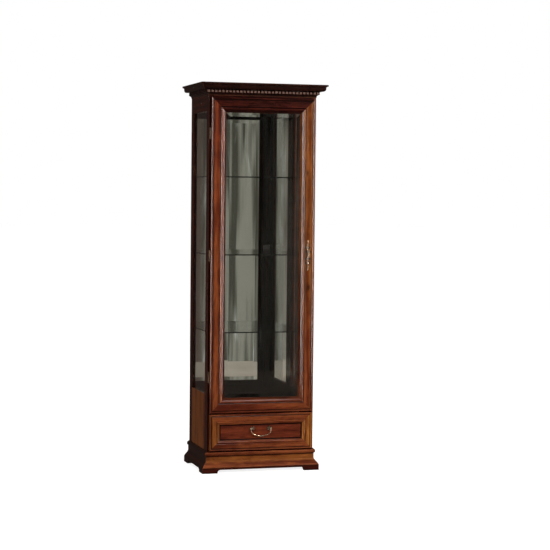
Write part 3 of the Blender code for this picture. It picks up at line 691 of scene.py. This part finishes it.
class Casting:
    """Round rods and beads, melted into one cast piece with a flat back."""

    def __init__(self, back=math.inf):
        self.back = back
        self.points = []
        self.faces = []

    def rod(self, line):
        """A rod through points (x, y, z, radius)."""
        start = len(self.points)
        last = len(line) - 1
        for number, (x, y, z, radius) in enumerate(line):
            before, after = line[max(number - 1, 0)], line[min(number + 1, last)]
            run = (Vector(after[:3]) - Vector(before[:3])).normalized()
            depth = Vector((0, 1, 0)) if abs(run.y) < 0.9 else Vector((0, 0, 1))
            side = run.cross(depth).normalized()
            depth = side.cross(run)
            for corner in range(ROD_SIDES):
                turn = math.tau * corner / ROD_SIDES
                point = Vector((x, y, z)) + radius * (math.cos(turn) * side + math.sin(turn) * depth)
                self.points.append((point.x, min(point.y, self.back), point.z))
        for row in range(last):
            for corner in range(ROD_SIDES):
                here = start + row * ROD_SIDES
                beside = (corner + 1) % ROD_SIDES
                self.faces.append((here + corner, here + beside, here + ROD_SIDES + beside,
                                   here + ROD_SIDES + corner))
        self.faces.append(tuple(start + corner for corner in reversed(range(ROD_SIDES))))
        self.faces.append(tuple(start + last * ROD_SIDES + corner for corner in range(ROD_SIDES)))

    def bead(self, centre, radius, reach=None, lean=(0, 0, 1)):
        """A ball, or a drop drawn out to a reach along the direction it leans in."""
        line = []
        for step in range(BEAD_STEPS + 1):
            part = BEAD_POLE + (1 - 2 * BEAD_POLE) * step / BEAD_STEPS
            place = math.cos(math.pi * part)
            spot = Vector(centre) + Vector(lean).normalized() * (reach or radius) * place
            line.append((*spot, radius * math.sqrt(1 - place ** 2)))
        self.rod(line)

    def scroll(self, centre, radius, start, sweep, side, thick):
        """A curl that winds in to a small eye. Angles are in degrees."""
        line = []
        for step in range(SCROLL_STEPS + 1):
            part = step / SCROLL_STEPS
            turn = math.radians(start + sweep * part)
            reach = radius * (1 - SCROLL_SHRINK * part)
            line.append((centre[0] + side * reach * math.cos(turn), centre[1],
                         centre[2] + reach * math.sin(turn), thick * (1 - SCROLL_TAPER * part)))
        self.rod(line)
        self.bead(line[-1][:3], thick * 1.15)

    def piece(self, name, body, look):
        """The melted casting, riding on its body."""
        mesh = bpy.data.meshes.new(name)
        mesh.from_pydata(self.points, [], self.faces)
        mesh.materials.append(look)
        made = bpy.data.objects.new(name, mesh)
        bpy.context.scene.collection.objects.link(made)
        melt = made.modifiers.new("melt", "REMESH")
        melt.mode = "VOXEL"
        melt.voxel_size = MELT_GRAIN
        melt.use_smooth_shade = True
        relax = made.modifiers.new("relax", "SMOOTH")
        relax.factor = 0.5
        relax.iterations = 2
        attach(made, body)
        return made


def openwork_half(cast, centre, height, way):
    """Spine, pairs of scrolls and leaves, and a pointed finial. Way is 1 above the keyhole and -1 below."""
    x, y, z = centre
    spine = [(x, y, z + way * part * height, (1.7 - 0.7 * part) * MM) for part in (0.10, 0.4, 0.7, 0.96)]
    cast.rod(spine)
    for side in (-1, 1):
        for part, aside, radius, thick in OPENWORK_SCROLLS:
            spot = (x + side * aside, y, z + way * part * height)
            cast.scroll(spot, radius, -150 * way, 430 * way, side, thick)
        for part, reach in OPENWORK_LEAVES:
            foot = Vector((x, y, z + way * part * height))
            tip = foot + Vector((side * reach, -0.5 * MM, way * reach * 0.8))
            cast.bead((foot + tip) / 2, 1.5 * MM, (tip - foot).length / 2, tip - foot)
    cast.bead((x, y, z + way * 0.90 * height), 3.0 * MM, 0.09 * height)
    cast.bead((x, y, z + way * 0.775 * height), 2.3 * MM)


def escutcheon(look):
    """Openwork plate round the keyhole."""
    low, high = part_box("escutcheon")
    x, z = KEYHOLE
    y = high.y - 0.8 * MM
    cast = Casting(high.y)
    ring = []
    for step in range(RING_STEPS + 2):
        turn = math.tau * step / RING_STEPS
        ring.append((x + RING_HALF_WIDTH * math.cos(turn), y, z + RING_HALF_HEIGHT * math.sin(turn),
                     RING_THICKNESS))
    cast.rod(ring)
    openwork_half(cast, (x, y, z), high.z - z, 1)
    openwork_half(cast, (x, y, z), z - low.z, -1)
    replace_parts(cast.piece("escutcheon_openwork", "door", look), "escutcheon")


def rosette_leaves(look):
    """Leaves round the foot of each post."""
    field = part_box("drawer_front")[0].y + FIELD_DEPTH - 0.35 * MM
    for word in ("left", "right"):
        low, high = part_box(f"pull_rosette_{word}")
        x, z = (low.x + high.x) / 2, (low.z + high.z) / 2
        cast = Casting(field)
        for leaf in range(ROSETTE_LEAVES):
            turn = math.tau * (leaf + 0.5) / ROSETTE_LEAVES
            out = Vector((math.cos(turn), 0, math.sin(turn)))
            foot = Vector((x, field - 2.0 * MM, z)) + LEAF_PLACE * out
            lean = out + Vector((0, 0.25, 0))
            cast.bead(foot, 2.6 * MM, 5.2 * MM, lean)
            cast.bead(foot + 4.2 * MM * lean, 1.5 * MM)
        cast.piece(f"rosette_{word}_leaves", "drawer", look)


def bail_point(part):
    """Centre line of the bail from its left end to its right end: (across, height)."""
    across = -BAIL_HALF_WIDTH * math.cos(math.pi * part)
    return across, BAIL_PIVOT - BAIL_DROP * math.sin(math.pi * part) ** 0.75


def bail(look):
    """Hanging handle: pins in the posts, curled shoulders, swelling arms and beads at its middle."""
    low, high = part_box("pull_bail")
    y = (low.y + high.y) / 2
    cast = Casting()
    arms = []
    for step in range(1, BAIL_STEPS):
        part = step / BAIL_STEPS
        x, z = bail_point(part)
        swell = math.sin(math.tau * min(part, 1 - part)) ** 2
        arms.append((x, y, z, (1.6 + 0.7 * swell) * MM))
    cast.rod(arms)
    for side in (-1, 1):
        cast.rod([(side * PIN_END, y, BAIL_PIVOT, 1.55 * MM), (side * PIN_BEND, y, BAIL_PIVOT, 1.6 * MM),
                  (side * BAIL_HALF_WIDTH, y, BAIL_PIVOT - 3 * MM, 1.7 * MM)])
        cast.scroll((side * CURL_PLACE, y, BAIL_PIVOT + CURL_RISE), CURL_RADIUS, -100, 330, side, 1.5 * MM)
        cast.bead((side * COLLAR_PLACE, y, BAIL_PIVOT), 2.6 * MM)
    for part, radius in BAIL_BEADS:
        x, z = bail_point(part)
        cast.bead((x, y, z), radius)
    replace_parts(cast.piece("bail_casting", "bail", look), "pull_bail")


# ---------------------------------------------------------------- the case

# Painted shade, each (axis, from, to): on the back of the door's frame, and on the inner faces of the side
# frames
BEHIND = (1, -0.196, -0.186)
INNER_LEFT = (0, -0.275, -0.271)
INNER_RIGHT = (0, 0.275, 0.271)

# Painted shade in the grooves of the door's frame: (low corner, high corner, insets)
DOOR_GROOVE_SHADE = (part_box("door_left_stile")[0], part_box("door_right_stile")[1], DOOR_GROOVES)

# Wood pieces: (node, grain, tone, edge width, what else their wood has)
WOODEN = [
    # The brightened band paints highlights on the dentils' front faces.
    ("cornice_front", ALONG_X, "dark", 0.5 * MM, {"brightened": DENTIL_FACES}),
    ("cornice_left", ALONG_Y, "dark", 0.5 * MM, {}),
    ("cornice_right", ALONG_Y, "dark", 0.5 * MM, {"brightened": DENTIL_FACES}),
    ("top_board", ALONG_X, "brown", 0.8 * MM, {"polish": 0.0}),
    ("back_board", ALONG_Z, "amber", 0.5 * MM, {"polish": 0.15}),
    # Its fades are painted light and shade: dark at the foot, palest from the upper skirt to the torus.
    ("plinth_front", ALONG_X, "wine", 0.6 * MM,
     {"fades": ((2, 22 * MM, 30 * MM, "russet"), (2, 38 * MM, 62 * MM, "amber"),
                (2, 82 * MM, 90 * MM, "russet")),
      "levels": PLINTH_GROOVES}),
    # The dark tone is painted shade, for the side turned away from the key light.
    ("plinth_left", ALONG_Y, "dark", 0.6 * MM, {}),
    ("plinth_right", ALONG_Y, "russet", 0.6 * MM, {}),
    ("left_front_stile", ALONG_Z, "wine", 0.8 * MM, {"shade": INNER_LEFT}),
    ("left_back_stile", ALONG_Z, "wine", 0.8 * MM, {"shade": INNER_LEFT}),
    ("left_top_rail", ALONG_Y, "wine", 0.8 * MM, {"shade": INNER_LEFT}),
    ("left_lower_panel", ALONG_Z, "amber", 0.8 * MM, {"shade": INNER_LEFT}),
    ("right_front_stile", ALONG_Z, "red", 0.8 * MM, {"shade": INNER_RIGHT}),
    ("right_back_stile", ALONG_Z, "brown", 0.8 * MM, {"shade": INNER_RIGHT}),
    ("right_top_rail", ALONG_Y, "brown", 0.8 * MM, {"shade": INNER_RIGHT}),
    ("right_lower_panel", ALONG_Z, "red", 0.8 * MM, {"shade": INNER_RIGHT}),
    ("floor_board", ALONG_X, "wine", 0.6 * MM, {}),
    ("bay_board", ALONG_X, "brown", 0.6 * MM, {}),
    ("frieze_rail", ALONG_X, "wine", 0.6 * MM, {}),
    ("door_left_stile", ALONG_Z, "russet", 0.0,
     {"fades": ((2, 1.2, 1.9, "red"),), "shade": BEHIND, "groove_shade": DOOR_GROOVE_SHADE}),
    # Its fade is a painted reflection: the stile turns golden towards the top, as the room's sheen in its
    # polish.
    ("door_right_stile", ALONG_Z, "russet", 0.0,
     {"fades": ((2, 0.7, 1.1, "amber"),), "shade": BEHIND, "groove_shade": DOOR_GROOVE_SHADE,
      "knots": (((0.243, -0.199, 1.585), 12 * MM), ((0.252, -0.199, 0.980), 14 * MM))}),
    ("door_top_rail", ALONG_X, "wine", 0.0, {"shade": BEHIND, "groove_shade": DOOR_GROOVE_SHADE}),
    ("door_bottom_rail", ALONG_X, "red", 0.0,
     {"fades": ((0, -0.1, 0.28, "russet"),), "shade": BEHIND, "groove_shade": DOOR_GROOVE_SHADE}),
    ("drawer_front", ALONG_X, "russet", 0.0, {"mitre": (("amber", "gold"), "crimson")}),
]


def dress_case():
    """Wood, glass and metal for every CAD node, and the castings that the hardware adds."""
    for seed, (name, grain, tone, width, extras) in enumerate(WOODEN, 1):
        dress(name, wood(f"{name}_wood", grain, tone, seed, **extras), width)
    for seed, (word, grain) in enumerate((("left_side", ALONG_Y), ("right_side", ALONG_Y),
                                          ("back", ALONG_X), ("floor", ALONG_X)), 1):
        dress(f"drawer_{word}", drawer_wood(f"drawer_{word}_wood", grain, seed), 0.8 * MM)
    clear = glass("clear_glass")
    shelf_glass = glass("shelf_glass", edge=(0.03, 0.12, 0.09))
    for name in ("door_glass", "left_pane", "right_pane"):
        dress(name, clear, shading=FLAT)
    for number in (1, 2, 3):
        dress(f"shelf_{number}", shelf_glass, 0.5 * MM, FLAT)
    dress("mirror", mirror_silver("mirror_silver"), shading=FLAT)
    metal = brass("aged_brass")
    dark_metal = brass("dark_brass", (0.10, 0.07, 0.045), (0.02, 0.014, 0.010))
    rubbed_metal = brass("rubbed_brass", (0.58, 0.45, 0.31), (0.020, 0.013, 0.008))
    for name in NODES:
        if name.startswith(("hinge_", "shelf_pin_", "pull_")):
            dress(name, dark_metal, 0.25 * MM)
        elif name in ("escutcheon", "key"):
            dress(name, metal, 0.25 * MM)
    escutcheon(brass("pierced_brass", (0.64, 0.50, 0.36), (0.014, 0.009, 0.006), KEYHOLE[0]))
    rosette_leaves(dark_metal)
    bail(rubbed_metal)
    grey = steel("steel")
    for name in ("lock_case", "lock_bolt"):
        dress(name, grey, 0.3 * MM)


camera()
world()
lights()
stage()
dress_case()
